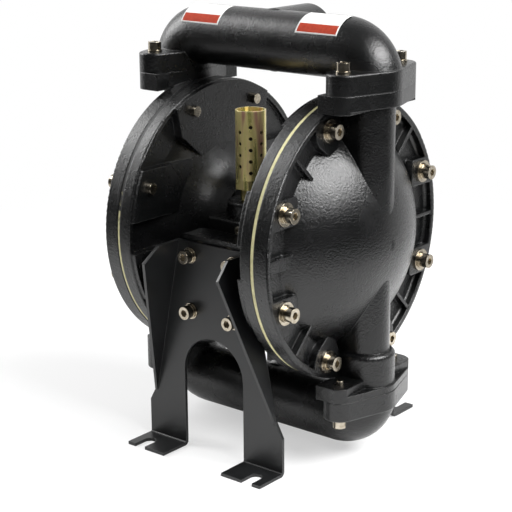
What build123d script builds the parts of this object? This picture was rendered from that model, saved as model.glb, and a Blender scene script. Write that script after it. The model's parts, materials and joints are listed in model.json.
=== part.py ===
from build123d import *
from math import cos, hypot, radians, sin, sqrt
import os

# Air operated double diaphragm pump, metal body, in millimetres.
# X runs along the diaphragm rod, Z is up, the muffler side is -Y and the fluid ports face +Y.
# The origin lies on the floor under the middle of the pump.

# ---- driving dimensions -------------------------------------------------------------------

# main layout
ground_gap = 6.3            # under the lower manifold
joint_x = 64.0              # middle plane of each diaphragm
ring_r = 106.0              # outer radius of the bolted cap rims
riser_out = 25.0            # vertical fluid ways, beyond the diaphragms
joint_rise = 7.0            # manifold joint faces, beyond the rims
manifold_rise = 27.0        # manifold tube axes, beyond the joint faces

# clamped diaphragms and their bolts
diaphragm_t = 3.0
bolt_edge = 12.5            # bolt circle inside the rim's edge
bolt_count = 8
bolt_turn = 22.5
bolt_r = 4.0
bolt_hole_r = 4.5
bolt_head_r = 5.5
bolt_head_h = 6.0
bolt_hex = 5.0
bolt_tip = 4.0              # thread standing out of the air cap pads
washer_r = 8.6
washer_t = 1.6
lock_washer_r = 6.4
lock_washer_t = 1.6
thread_clear = 0.05         # radial, between a screw and its threaded hole

# fluid caps
cap_wall = 5.0
rim_w = 4.5
rim_round = 1.2             # on the rims' outer and inner edges
fluid_rim_t = 12.5
fluid_web_t = 6.0
dome_gap = 11.5             # from the bolt circle to the dome's foot
dome_rise = 37.5
dome_round = 3.0            # in the corner at the dome's foot
rib_t = 2.6
rib_h = 6.0
stop_rib_t = 9.0
side_pad_w = 21.0           # bolt pads beside the dome
side_pad_len = 34.0
side_pad_round = 3.0
riser_pad_r = 15.0          # bolt pads beside the risers, pointed towards the dome
riser_pad_tip = 1.5
riser_pad_len = 21.0
riser_r = 17.5
lower_riser_r = 16.5
riser_bore_r = 11.0
riser_root = 20.0
housing_r = 21.0
housing_h = 30.0
housing_bore_r = 15.0
housing_shoulder = 4.0
bypass_w = 7.0
bypass_h = 6.0

# two-bolt flanges between caps and manifolds
ear_pitch = 35.0            # flange bolts, in front of and behind the riser
ear_r = 12.0
cap_flange_t = 11.0
cap_ear_t = 13.0
low_flange_t = 5.0
low_ear_t = 11.0
cap_flange_r = 22.5
ear_pad_in = 16.0           # inner sides of the ears' thicker pads
ear_pad_out = 10.5          # their outer sides, beyond the bolts
flange_in = 2.0             # behind the rim's face
flange_bolt_r = 3.0
flange_hole_r = 3.3
flange_head_r = 5.0
flange_head_h = 6.0
flange_hex = 5.0
spring_washer_r = 5.5
spring_washer_t = 1.6
flange_reach = 14.5         # thread beyond the joint face

# manifolds
tube_r = 22.7
tube_bore_r = 15.5
elbow_throat = 1.3          # inner radius of the tube's bends
manifold_ear_t = 15.0
port_r = 23.5
port_y = 44.0               # face of the threaded port
port_bore_r = 15.15         # minor radius of a G1 thread
port_thread = 22.0
port_way = 0.5              # relief behind the thread
casting_round = 1.5         # outer edges of the ears and the port
stop_fin_t = 5.0
stop_fin_w = 10.0

# check valves
ball_r = 12.0
ball_lift = 6.0
ball_gap = 0.1
seat_bore_r = 9.0
seat_r = 17.3
seat_t = 6.0
seat_chamfer = 2.0
seat_clear = 0.1
seal_in_r = 18.6
seal_out_r = 20.4
seal_t = 1.5

# air caps
air_rim_t = 9.5
air_web_t = 5.5
air_pad_t = 13.0
side_pad_foot = 12.0        # bolt pads on both sides of the bowl, from the rod's height
side_pad_top = 49.5
side_pad_in = 38.0
top_pad_half = 27.0         # shared pads above and below the bowl
top_pad_foot = 50.0
top_pad_side = 49.0
top_pad_knee = 68.0
top_pad_flare = 8.0
chamber_step = 2.0
bowl_wall = 5.0
bowl_inset = 18.0
bowl_depth = 12.5
neck_len = 7.0
neck_flare = 2.0
hub_r = 31.0
hub_floor_t = 10.0
hub_screw_circle_r = 22.0

# middle of the pump
body_half = 24.0            # half width between the air cap hubs
body_y = 50.0
body_top = 11.0             # above the rod
body_foot = -66.0
body_hub_r = 29.0
block_half = 33.0
block_t = 21.0
block_foot = -69.0
block_top = 1.5
block_screw_x = 14.0
block_screw_rows = (-61.0, -7.0)
sink_clear = 0.3
gasket_t = 0.8
muffler_boss_r = 18.0
muffler_boss_top = 24.0
boss_round = 3.0
body_round = 2.0
body_screw_x = 8.5          # small screw above the valve block
body_screw_rise = 5.5       # above the rod
body_screw_head_r = 3.5
body_screw_head_h = 4.0
body_screw_hex = 3.0
body_screw_r = 2.0
body_screw_len = 8.0
muffler_y = -28.0

# diaphragm rod and what it carries
rod_r = 8.0
stud_r = 5.0
stud_tip = 3.0
rod_clear = 0.05
half_stroke = 10.0
plate_r = 42.0
inner_plate_t = 5.0
outer_plate_t = 6.0
plate_edge = 2.5
nut_r = 9.2
nut_t = 7.5
bushing_r = 11.0
bushing_len = 12.0
seal_r = 12.0
seal_len = 5.0
convolution_gap = 4.0       # from the plates, and from the air cap's wall
convolution_h = 7.0

# air valve
spool_r = 8.0
spool_neck_r = 5.5
spool_z = -34.0             # from the rod
spool_travel = 6.0
spool_clear = 0.06
plug_t = 4.0
plug_r = 10.0
pilot_r = 4.0
pilot_z = -24.0
pilot_travel = 4.0
end_gap = 0.3

# exhaust muffler
muffler_r = 11.5
muffler_wall = 1.2
muffler_len = 52.0
muffler_dish = 3.0
muffler_hex = 21.0
muffler_hex_h = 7.5
nipple_r = 8.0
nipple_len = 16.0
nipple_in = 7.5              # thread hidden in the boss
nipple_bore_r = 5.5
element_r = 9.8
vent_r = 1.5
vent_rows = 9
vent_first = 6.0
vent_pitch = 8.6
vent_turn = 39.0

# air inlet
inlet_hex = 20.0
inlet_hex_h = 11.0
inlet_spigot_r = 8.3
inlet_spigot_len = 12.0
inlet_bore_r = 5.7          # minor radius of a G1/4 thread
air_way_r = 5.0

# legs
sheet_t = 2.5
leg_top_drop = 3.0          # below the rod
leg_top_half = 34.5
leg_kink_z = 40.0
leg_kink_half = 60.5
leg_foot_z = 30.0
leg_half = 66.0
arch_r = 29.0
arch_z = 64.0
foot_len = 29.0             # from the plate's back to the foot's front edge
slot_w = 10.0
slot_len = 16.0
slot_x = 53.5
gusset_d = 38.0
gusset_top_d = 24.0
gusset_cut = 12.0
gusset_end_d = 3.0
bend_r = 1.2                # inside the foot's bend
gusset_bend_r = 2.0         # outside the gusset's bend
leg_screw_x = 21.0
leg_screw_rows = (-57.0, -13.5)
leg_washer_r = 6.2
leg_washer_t = 1.2
leg_screw_len = 12.0

# ---- values worked out from them ----------------------------------------------------------

joint_h = ring_r + joint_rise
manifold_h = joint_h + manifold_rise
axis_z = ground_gap + tube_r + manifold_h
riser_x = joint_x + riser_out
bolt_circle_r = ring_r - bolt_edge
dome_base_r = bolt_circle_r - dome_gap
air_chamber_r = dome_base_r - chamber_step
bowl_r = air_chamber_r - bowl_inset
bowl_x = joint_x - bowl_depth
neck_x = body_half + neck_len
convolution_in = plate_r + convolution_gap
convolution_out = air_chamber_r - convolution_gap
leg_top_z = axis_z - leg_top_drop
elbow_r = tube_r + elbow_throat
cap_face = joint_x + diaphragm_t / 2
air_face = joint_x - diaphragm_t / 2
rim_in_r = ring_r - rim_w
fluid_rim_x = cap_face + fluid_rim_t
fluid_web_x = cap_face + fluid_web_t
dome_tip_x = fluid_web_x + dome_rise
dome_sphere_r = (dome_base_r**2 + dome_rise**2) / (2 * dome_rise)
dome_centre_x = dome_tip_x - dome_sphere_r
air_pad_x = air_face - air_pad_t
hub_floor_x = body_half + hub_floor_t
top_joint_z = axis_z + joint_h
low_joint_z = axis_z - joint_h
block_front = body_y + gasket_t + block_t
plate_front = block_front + sheet_t
seat_depth = sqrt(ball_r**2 - seat_bore_r**2) - seat_chamfer
ball_rest = seat_depth + ball_gap
housing_stop = ball_rest + ball_lift + sqrt(ball_r**2 - riser_bore_r**2)
muffler_z = axis_z + muffler_boss_top

pump_axis = Axis((0, 0, axis_z), (1, 0, 0))
middle = Plane.YZ
level = Plane.XY.offset(axis_z)
os.makedirs("parts", exist_ok=True)


def across(x):
    """A plane square to the rod, its origin on the rod's axis and its x along +Y."""
    return Plane(origin=(x, 0, axis_z), x_dir=(0, 1, 0), z_dir=(1, 0, 0))


def sphere_x(r, wall=0.0):
    """Where the dome, or its inside at a wall's depth, stands at radius r from the axis."""
    return dome_centre_x + sqrt((dome_sphere_r - wall)**2 - r**2)


def ring_spots():
    """Places of the rim bolts round the rod, in a plane square to it."""
    turns = [radians(bolt_turn + 360 / bolt_count * number) for number in range(bolt_count)]
    return [(bolt_circle_r * cos(turn), bolt_circle_r * sin(turn)) for turn in turns]


def riser_pad(y, z):
    """Outline of a bolt pad beside a riser, narrowing from the bolt towards the dome."""
    with BuildSketch() as outline:
        with Locations((y, z)):
            Circle(riser_pad_r)
        with Locations((y - 6 * y / abs(y), z - riser_pad_len * z / abs(z))):
            Circle(riser_pad_tip)
        make_hull()
    return outline.sketch


def hub_spots():
    """Places of the screws that hold an air cap's hub to the middle body."""
    reach = hub_screw_circle_r * sqrt(0.5)
    return [(reach, reach), (-reach, reach), (-reach, -reach), (reach, -reach)]


def socket_screws(seat, spots, head_r, head_h, key, shank_r, shank_len):
    """Hex socket cap screws with their heads on the seat plane and shanks behind it."""
    with BuildPart() as screws:
        with BuildSketch(seat):
            with Locations(*spots):
                Circle(head_r)
        extrude(amount=head_h)
        with BuildSketch(seat.offset(head_h)):
            with Locations(*spots):
                RegularPolygon(radius=key / 2, side_count=6, major_radius=False)
        extrude(amount=-head_h / 2, mode=Mode.SUBTRACT)
        with BuildSketch(seat):
            with Locations(*spots):
                Circle(shank_r)
        extrude(amount=-shank_len)
    return screws


def rings(seat, spots, outer_r, inner_r, thickness):
    """Flat rings standing on the seat plane, such as washers, seals and bushes."""
    with BuildPart() as group:
        with BuildSketch(seat):
            with Locations(*spots):
                Circle(outer_r)
                Circle(inner_r, mode=Mode.SUBTRACT)
        extrude(amount=thickness)
    return group


def with_mirror(piece, plane):
    """One node of a piece and its mirror image, as separate solids."""
    with BuildPart() as pair:
        add(piece.part)
        mirror(piece.part, about=plane)
    return pair


def mirrored(piece, plane):
    """The mirror image of a piece."""
    with BuildPart() as image:
        mirror(piece.part, about=plane)
    return image


def save(piece, name):
    """Name a finished piece and write it as one STEP file."""
    piece.part.label = name
    export_step(piece.part, f"parts/{name}.step")


def save_pair(right, name):
    """Write a right-hand piece and its mirror image on the left as two nodes."""
    save(right, f"right_{name}")
    save(mirrored(right, middle), f"left_{name}")


# ---- fluid caps: ribbed rim, dome, two risers, ball housing and flanges -------------------

cavity_r = sqrt((dome_sphere_r - cap_wall)**2 - (cap_face - dome_centre_x)**2)

with BuildPart() as fluid_cap:
    # rim, web and dome turned about the rod
    with BuildSketch(Plane.XZ):
        with BuildLine():
            Polyline((dome_tip_x, axis_z), (cap_face, axis_z), (cap_face, axis_z + ring_r),
                     (fluid_rim_x, axis_z + ring_r), (fluid_rim_x, axis_z + rim_in_r),
                     (fluid_web_x, axis_z + rim_in_r), (fluid_web_x, axis_z + dome_base_r))
            half_r = dome_base_r / 2
            ThreePointArc((fluid_web_x, axis_z + dome_base_r),
                          (sphere_x(half_r), axis_z + half_r), (dome_tip_x, axis_z))
        make_face()
        for radius, size in ((ring_r, rim_round), (rim_in_r, rim_round)):
            fillet(vertices().sort_by_distance((fluid_rim_x, axis_z + radius))[0], size)
        for radius in (rim_in_r, dome_base_r):
            fillet(vertices().sort_by_distance((fluid_web_x, axis_z + radius))[0], dome_round)
    revolve(axis=pump_axis)
    # bolt pads: level strips beside the dome, pointed ones beside the risers
    with BuildSketch(across(cap_face)):
        for y, z in ring_spots():
            side = y / abs(y)
            if abs(y) > abs(z):
                with Locations((side * (ring_r - side_pad_len / 2), z)):
                    RectangleRounded(side_pad_len, side_pad_w, side_pad_round)
            else:
                add(riser_pad(y, z))
        Circle(ring_r - rim_round, mode=Mode.INTERSECT)
    extrude(amount=fluid_rim_t)
    # ribs half way between the bolts where no riser stands
    rib_len = rim_in_r - dome_base_r + 8
    with BuildSketch(across(cap_face)):
        for angle in (-45, 0, 45, 135, 225):
            with PolarLocations(rim_in_r + 1 - rib_len / 2, 1, start_angle=angle):
                Rectangle(rib_len, rib_t)
        with PolarLocations(rim_in_r + 1 - rib_len / 2, 1, start_angle=180):
            Rectangle(rib_len, stop_rib_t)
    extrude(amount=fluid_web_t + rib_h)
    # risers with flat sides that run back into the web
    for sign, radius in ((1, riser_r), (-1, lower_riser_r)):
        with BuildSketch(level.offset(sign * riser_root)):
            with Locations((riser_x, 0)):
                Circle(radius)
        extrude(amount=sign * (joint_h - riser_root))
        with BuildSketch(level.offset(sign * riser_root)):
            with Locations(((fluid_web_x + riser_x) / 2, 0)):
                Rectangle(riser_x - fluid_web_x, 2 * radius)
        extrude(amount=sign * (ring_r - 1 - riser_root))
    # ball housing with a rounded shoulder at the foot of the lower riser
    with BuildSketch(Plane.XZ):
        with BuildLine():
            side = riser_x + housing_r
            top = low_joint_z + housing_h
            Polyline((side, top - housing_shoulder), (side, low_joint_z), (riser_x, low_joint_z),
                     (riser_x, top), (side - housing_shoulder, top))
            RadiusArc((side - housing_shoulder, top), (side, top - housing_shoulder),
                      housing_shoulder)
        make_face()
    revolve(axis=Axis((riser_x, 0, 0), (0, 0, 1)))
    # two-ear flanges whose inner side is square, with thicker pads round their bolts
    flange_in_x = fluid_rim_x - flange_in
    for sign, plate_t, ear_t in ((1, cap_flange_t, cap_ear_t), (-1, low_flange_t, low_ear_t)):
        with BuildSketch(level.offset(sign * joint_h)) as flange:
            with Locations((riser_x, 0)):
                Circle(cap_flange_r)
            with Locations((riser_x, ear_pitch), (riser_x, -ear_pitch)):
                Circle(ear_r)
            make_hull()
            with Locations(((flange_in_x + riser_x) / 2, 0)):
                Rectangle(riser_x - flange_in_x, 2 * (ear_pitch + ear_r))
        extrude(amount=-sign * plate_t)
        with BuildSketch(level.offset(sign * joint_h)):
            with Locations(((flange_in_x + riser_x + ear_pad_out) / 2, 0)):
                Rectangle(riser_x + ear_pad_out - flange_in_x, 2 * (ear_pitch + ear_r))
                Rectangle(2 * riser_x, 2 * ear_pad_in, mode=Mode.SUBTRACT)
            add(flange.sketch, mode=Mode.INTERSECT)
        extrude(amount=-sign * ear_t)
    # pump chamber, fluid ways, ball chamber, seat pocket and seal grooves
    with BuildSketch(Plane.XZ):
        with BuildLine():
            tip = sphere_x(0, cap_wall)
            Polyline((tip, axis_z), (cap_face, axis_z), (cap_face, axis_z + cavity_r))
            ThreePointArc((cap_face, axis_z + cavity_r),
                          (sphere_x(cavity_r / 2, cap_wall), axis_z + cavity_r / 2), (tip, axis_z))
        make_face()
    revolve(axis=pump_axis, mode=Mode.SUBTRACT)
    for sign in (1, -1):
        with BuildSketch(level.offset(sign * joint_h)):
            with Locations((riser_x, 0)):
                Circle(riser_bore_r)
        extrude(amount=-sign * (joint_h - riser_root), mode=Mode.SUBTRACT)
        with BuildSketch(level.offset(sign * joint_h)):
            with Locations((riser_x, 0)):
                Circle(seal_out_r + seat_clear)
                Circle(seal_in_r - seat_clear, mode=Mode.SUBTRACT)
        extrude(amount=-sign * seal_t, mode=Mode.SUBTRACT)
        with BuildSketch(level.offset(sign * joint_h)):
            with Locations((riser_x, ear_pitch), (riser_x, -ear_pitch)):
                Circle(flange_bolt_r + thread_clear)
        extrude(amount=-sign * cap_ear_t, mode=Mode.SUBTRACT)
    with BuildSketch(Plane.XY.offset(top_joint_z)):
        with Locations((riser_x, 0)):
            Circle(seat_r + seat_clear)
    extrude(amount=-seat_t, mode=Mode.SUBTRACT)
    with BuildSketch(Plane.XY.offset(low_joint_z)):
        with Locations((riser_x, 0)):
            Circle(housing_bore_r)
    extrude(amount=housing_stop, mode=Mode.SUBTRACT)
    # bypass slots, so that liquid passes round the lifted ball
    with BuildSketch(Plane.XY.offset(low_joint_z)):
        with Locations((riser_x, 0)):
            Rectangle(2 * (housing_bore_r - 1), bypass_w)
            Rectangle(bypass_w, 2 * (housing_bore_r - 1))
    extrude(amount=housing_stop + bypass_h, mode=Mode.SUBTRACT)
    # clearance holes of the rim bolts
    with BuildSketch(across(cap_face)):
        with PolarLocations(bolt_circle_r, bolt_count, start_angle=bolt_turn):
            Circle(bolt_hole_r)
    extrude(amount=fluid_rim_t, mode=Mode.SUBTRACT)
save_pair(fluid_cap, "fluid_cap")

# ---- air caps: rim, bolt pads and a bowl that narrows to the hub --------------------------

with BuildPart() as air_cap:
    # solid of the rim, web, bowl and hub, turned about the rod
    with BuildSketch(Plane.XZ):
        with BuildLine():
            Polyline((body_half, axis_z + hub_r), (body_half, axis_z), (air_face, axis_z),
                     (air_face, axis_z + ring_r), (air_face - air_rim_t, axis_z + ring_r),
                     (air_face - air_rim_t, axis_z + rim_in_r),
                     (air_face - air_web_t, axis_z + rim_in_r),
                     (air_face - air_web_t, axis_z + air_chamber_r))
            Spline((air_face - air_web_t, axis_z + air_chamber_r), (bowl_x, axis_z + bowl_r),
                   (neck_x, axis_z + hub_r + neck_flare), tangents=((-0.1, -1), (-1, -0.35)))
            Line((neck_x, axis_z + hub_r + neck_flare), (body_half, axis_z + hub_r))
        make_face()
        for radius in (ring_r, rim_in_r):
            fillet(vertices().sort_by_distance((air_face - air_rim_t, axis_z + radius))[0],
                   rim_round)
    revolve(axis=pump_axis)
    # flat pads round the bolt ends: level strips on the sides, wide ones above and below
    with BuildSketch(across(air_pad_x)):
        pad_w = ring_r - side_pad_in
        pad_h = side_pad_top - side_pad_foot
        for side in (1, -1):
            with Locations((side * (side_pad_in + pad_w / 2), side_pad_foot + pad_h / 2),
                           (side * (side_pad_in + pad_w / 2), -side_pad_foot - pad_h / 2)):
                Rectangle(pad_w, pad_h)
            corners = [(-top_pad_side - top_pad_flare, side * ring_r),
                       (-top_pad_side, side * top_pad_knee),
                       (-top_pad_half, side * top_pad_foot), (top_pad_half, side * top_pad_foot),
                       (top_pad_side, side * top_pad_knee),
                       (top_pad_side + top_pad_flare, side * ring_r)]
            Polygon(*corners, align=None)
        Circle(ring_r - rim_round, mode=Mode.INTERSECT)
    extrude(amount=air_pad_t)
    # air chamber inside the bowl
    with BuildSketch(Plane.XZ):
        with BuildLine():
            Polyline((hub_floor_x, axis_z + hub_r - bowl_wall + 4), (hub_floor_x, axis_z),
                     (air_face, axis_z), (air_face, axis_z + air_chamber_r))
            Spline((air_face, axis_z + air_chamber_r), (bowl_x + bowl_wall, axis_z + bowl_r - 2),
                   (hub_floor_x, axis_z + hub_r - bowl_wall + 4),
                   tangents=((-0.1, -1), (-1, -0.6)))
        make_face()
    revolve(axis=pump_axis, mode=Mode.SUBTRACT)
    # rod way with the seal's pocket, pilot way, hub screw holes and threaded bolt holes
    with BuildSketch(across(body_half)):
        Circle(rod_r + 4 * rod_clear)
        with Locations((0, pilot_z)):
            Circle(pilot_r + spool_clear)
        with PolarLocations(hub_screw_circle_r, 4, start_angle=45):
            Circle(flange_hole_r)
    extrude(amount=hub_floor_t, mode=Mode.SUBTRACT)
    with BuildSketch(across(body_half)):
        Circle(seal_r + rod_clear)
    extrude(amount=seal_len, mode=Mode.SUBTRACT)
    with BuildSketch(across(air_pad_x)):
        with PolarLocations(bolt_circle_r, bolt_count, start_angle=bolt_turn):
            Circle(bolt_r + thread_clear)
    extrude(amount=air_pad_t, mode=Mode.SUBTRACT)
save_pair(air_cap, "air_cap")

# ---- diaphragms, clamped between the caps and carried by the rod --------------------------

with BuildPart() as diaphragm:
    with BuildSketch(Plane.XZ):
        with BuildLine():
            hole = axis_z + stud_r + rod_clear
            fold_in = axis_z + convolution_in
            fold_out = axis_z + convolution_out
            fold_mid = (fold_in + fold_out) / 2
            edge = axis_z + ring_r - end_gap
            Polyline((cap_face, fold_in), (cap_face, hole), (air_face, hole), (air_face, fold_in))
            ThreePointArc((air_face, fold_in), (air_face + convolution_h, fold_mid),
                          (air_face, fold_out))
            Polyline((air_face, fold_out), (air_face, edge), (cap_face, edge),
                     (cap_face, fold_out))
            ThreePointArc((cap_face, fold_out), (cap_face + convolution_h, fold_mid),
                          (cap_face, fold_in))
        make_face()
    revolve(axis=pump_axis)
    with BuildSketch(across(air_face)):
        with Locations(*ring_spots()):
            Circle(bolt_hole_r)
    extrude(amount=diaphragm_t, mode=Mode.SUBTRACT)
save_pair(diaphragm, "diaphragm")

# ---- rim bolts and washers ----------------------------------------------------------------

bolt_seat = fluid_rim_x + washer_t + lock_washer_t
cap_bolts = socket_screws(across(bolt_seat), ring_spots(), bolt_head_r, bolt_head_h, bolt_hex,
                          bolt_r, bolt_seat - air_pad_x + bolt_tip)
save_pair(cap_bolts, "cap_bolts")

cap_washers = rings(across(fluid_rim_x), ring_spots(), washer_r, bolt_hole_r, washer_t)
save_pair(cap_washers, "cap_washers")

cap_spring_washers = rings(across(fluid_rim_x + washer_t), ring_spots(), lock_washer_r,
                           bolt_hole_r, lock_washer_t)
save_pair(cap_spring_washers, "cap_spring_washers")

# ---- middle body: box with the rod's cross tube and the muffler's boss --------------------

with BuildPart() as muffler_boss:
    with BuildSketch(Plane.XZ.offset(-muffler_y)):
        with BuildLine():
            Polyline((muffler_boss_r, muffler_z - boss_round), (muffler_boss_r, axis_z), (0, axis_z),
                     (0, muffler_z), (muffler_boss_r - boss_round, muffler_z))
            RadiusArc((muffler_boss_r - boss_round, muffler_z),
                      (muffler_boss_r, muffler_z - boss_round), boss_round)
        make_face()
    revolve(axis=Axis((0, muffler_y, axis_z), (0, 0, 1)))

with BuildPart() as center_body:
    with BuildSketch(across(-body_half)):
        Circle(body_hub_r)
        with Locations((0, (body_top + body_foot) / 2)):
            RectangleRounded(2 * body_y, body_top - body_foot, body_round)
    extrude(amount=2 * body_half)
    add(muffler_boss)
    with BuildSketch(across(-body_half)):
        Circle(rod_r + 4 * rod_clear)
        with Locations((0, pilot_z)):
            Circle(pilot_r + spool_clear)
    extrude(amount=2 * body_half, mode=Mode.SUBTRACT)
    # pockets for the rod's bushes and threaded holes for the hub screws, on both sides
    for side in (1, -1):
        with BuildSketch(across(side * body_half)):
            Circle(bushing_r + rod_clear)
        extrude(amount=-side * bushing_len, mode=Mode.SUBTRACT)
        with BuildSketch(across(side * body_half)):
            with Locations(*hub_spots()):
                Circle(flange_bolt_r + thread_clear)
        extrude(amount=-side * leg_screw_len, mode=Mode.SUBTRACT)
    # threaded exhaust hole, and the block screws' holes front and back
    with BuildSketch(level.offset(muffler_boss_top)):
        with Locations((0, muffler_y)):
            Circle(nipple_r + thread_clear)
    extrude(amount=-muffler_boss_top / 2, mode=Mode.SUBTRACT)
    for side in (1, -1):
        with BuildSketch(Plane.XZ.offset(side * body_y)):
            with Locations(*[(x, axis_z + row) for row in block_screw_rows
                             for x in (-block_screw_x, block_screw_x)]):
                Circle(flange_bolt_r + thread_clear)
        extrude(amount=-side * leg_screw_len, mode=Mode.SUBTRACT)
    with BuildSketch(Plane.XZ.offset(body_y)):
        with Locations((body_screw_x, axis_z + body_screw_rise)):
            Circle(body_screw_r + thread_clear)
    extrude(amount=-body_screw_len - 1, mode=Mode.SUBTRACT)
save(center_body, "center_body")

body_screw = socket_screws(Plane.XZ.offset(body_y), [(body_screw_x, axis_z + body_screw_rise)],
                           body_screw_head_r, body_screw_head_h, body_screw_hex, body_screw_r,
                           body_screw_len)
save(body_screw, "body_screw")

bushing = rings(across(body_half), [(0, 0)], bushing_r, rod_r + rod_clear, -bushing_len)
save(with_mirror(bushing, middle), "rod_bushings")

rod_seal = rings(across(body_half), [(0, 0)], seal_r, rod_r + rod_clear, seal_len)
save(with_mirror(rod_seal, middle), "rod_seals")

right_hub_screws = socket_screws(across(hub_floor_x), hub_spots(), flange_head_r, flange_head_h,
                                 flange_hex, flange_bolt_r, hub_floor_t + leg_screw_len - 2)
save(with_mirror(right_hub_screws, middle), "hub_screws")

# ---- rod with the plates that clamp both diaphragms ---------------------------------------

inner_plate_x = air_face - inner_plate_t
outer_plate_x = cap_face + outer_plate_t
stud_end = outer_plate_x + nut_t + stud_tip

with BuildPart() as diaphragm_rod:
    with BuildSketch(across(-inner_plate_x)):
        Circle(rod_r)
    extrude(amount=2 * inner_plate_x)
    with BuildSketch(across(-stud_end)):
        Circle(stud_r)
    extrude(amount=2 * stud_end)
save(diaphragm_rod, "diaphragm_rod")

inner_plate = rings(across(inner_plate_x), [(0, 0)], plate_r, stud_r + rod_clear, inner_plate_t)
save(with_mirror(inner_plate, middle), "inner_plates")

with BuildPart() as outer_plate:
    with BuildSketch(across(cap_face)):
        Circle(plate_r)
        Circle(stud_r + rod_clear, mode=Mode.SUBTRACT)
    extrude(amount=outer_plate_t)
    chamfer(faces().sort_by(Axis.X)[-1].outer_wire().edges(), plate_edge)
save(with_mirror(outer_plate, middle), "outer_plates")

with BuildPart() as rod_nut:
    with BuildSketch(across(outer_plate_x)):
        RegularPolygon(radius=nut_r, side_count=6)
        Circle(stud_r + rod_clear, mode=Mode.SUBTRACT)
    extrude(amount=nut_t)
save(with_mirror(rod_nut, middle), "rod_nuts")

with BuildPart() as pilot_rod:
    reach = inner_plate_x - half_stroke - end_gap - pilot_travel
    with BuildSketch(across(-reach)):
        with Locations((0, pilot_z)):
            Circle(pilot_r)
    extrude(amount=2 * reach)
save(pilot_rod, "pilot_rod")

# ---- valve block in front of the body, inlet block behind it ------------------------------

block_mid_y = body_y + gasket_t + block_t / 2
block_mid_z = axis_z + (block_top + block_foot) / 2
leg_spots = [(x, axis_z + row) for row in leg_screw_rows for x in (-leg_screw_x, leg_screw_x)]
block_spots = [(x, axis_z + row) for row in block_screw_rows
               for x in (-block_screw_x, block_screw_x)]

with BuildPart() as block_blank:
    with BuildSketch(Plane.XZ.offset(body_y + gasket_t)):
        with Locations((0, block_mid_z)):
            RectangleRounded(2 * block_half, block_top - block_foot, 4)
    extrude(amount=block_t)
    with BuildSketch(Plane.XZ.offset(block_front)):
        with Locations(*leg_spots):
            Circle(flange_bolt_r + thread_clear)
    extrude(amount=-leg_screw_len, mode=Mode.SUBTRACT)
    with BuildSketch(Plane.XZ.offset(block_front)):
        with Locations(*block_spots):
            Circle(flange_hole_r)
    extrude(amount=-block_t, mode=Mode.SUBTRACT)
    with BuildSketch(Plane.XZ.offset(block_front)):
        with Locations(*block_spots):
            Circle(flange_head_r + sink_clear)
    extrude(amount=-flange_head_h - sink_clear, mode=Mode.SUBTRACT)

with BuildPart() as valve_block:
    add(block_blank.part)
    with BuildSketch(across(-block_half)):
        with Locations((-block_mid_y, spool_z)):
            Circle(spool_r + spool_clear)
    extrude(amount=2 * block_half, mode=Mode.SUBTRACT)
save(valve_block, "valve_block")

with BuildPart() as inlet_block:
    mirror(block_blank.part, about=Plane.XZ)
    with BuildSketch(level.offset(block_top)):
        with Locations((0, block_mid_y)):
            Circle(inlet_spigot_r + thread_clear)
    extrude(amount=-inlet_spigot_len, mode=Mode.SUBTRACT)
    with BuildSketch(level.offset(block_top)):
        with Locations((0, block_mid_y)):
            Circle(air_way_r)
    extrude(amount=block_foot / 2, mode=Mode.SUBTRACT)
save(inlet_block, "inlet_block")

with BuildPart() as valve_gasket:
    gasket_foot = max(block_foot, body_foot)
    with BuildSketch(Plane.XZ.offset(body_y)):
        with Locations((0, axis_z + (block_top + gasket_foot) / 2)):
            Rectangle(2 * body_half, block_top - gasket_foot)
        with Locations(*block_spots):
            Circle(flange_hole_r, mode=Mode.SUBTRACT)
    extrude(amount=gasket_t)
save(valve_gasket, "valve_gasket")
save(mirrored(valve_gasket, Plane.XZ), "inlet_gasket")

sunk_seat = Plane.XZ.offset(block_front - flange_head_h - sink_clear)
valve_block_screws = socket_screws(sunk_seat, block_spots, flange_head_r, flange_head_h,
                                   flange_hex, flange_bolt_r,
                                   block_t - flange_head_h + gasket_t + leg_screw_len - 2)
save(valve_block_screws, "valve_block_screws")
save(mirrored(valve_block_screws, Plane.XZ), "inlet_block_screws")

spigot = spool_r / 2
spool_half = block_half - spigot - spool_travel - end_gap

with BuildPart() as spool_plugs:
    for side in (1, -1):
        with BuildSketch(across(side * block_half)):
            with Locations((-block_mid_y, spool_z)):
                Circle(plug_r)
        extrude(amount=side * plug_t)
        with BuildSketch(across(side * block_half)):
            with Locations((-block_mid_y, spool_z)):
                Circle(spool_r)
        extrude(amount=-side * spigot)
save(spool_plugs, "spool_plugs")

with BuildPart() as valve_spool:
    with BuildSketch(across(-spool_half)):
        with Locations((-block_mid_y, spool_z)):
            Circle(spool_r)
    extrude(amount=2 * spool_half)
    # two waists that let the air pass between the lands
    for side in (1, -1):
        with BuildSketch(across(side * spool_half / 4)):
            with Locations((-block_mid_y, spool_z)):
                Circle(spool_r)
                Circle(spool_neck_r, mode=Mode.SUBTRACT)
        extrude(amount=side * spool_half / 3, mode=Mode.SUBTRACT)
save(valve_spool, "valve_spool")

with BuildPart() as air_inlet_bushing:
    with BuildSketch(level.offset(block_top)):
        with Locations((0, block_mid_y)):
            RegularPolygon(radius=inlet_hex / 2, side_count=6, major_radius=False)
    extrude(amount=inlet_hex_h)
    with BuildSketch(level.offset(block_top)):
        with Locations((0, block_mid_y)):
            Circle(inlet_spigot_r)
    extrude(amount=-inlet_spigot_len)
    with BuildSketch(level.offset(block_top + inlet_hex_h)):
        with Locations((0, block_mid_y)):
            Circle(inlet_bore_r)
    extrude(amount=-inlet_hex_h - inlet_spigot_len, mode=Mode.SUBTRACT)
save(air_inlet_bushing, "air_inlet_bushing")

# ---- exhaust muffler: hexagon nipple, perforated shell and porous element -----------------

hex_foot = muffler_z + nipple_len - nipple_in
shell_foot = hex_foot + muffler_hex_h

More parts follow.
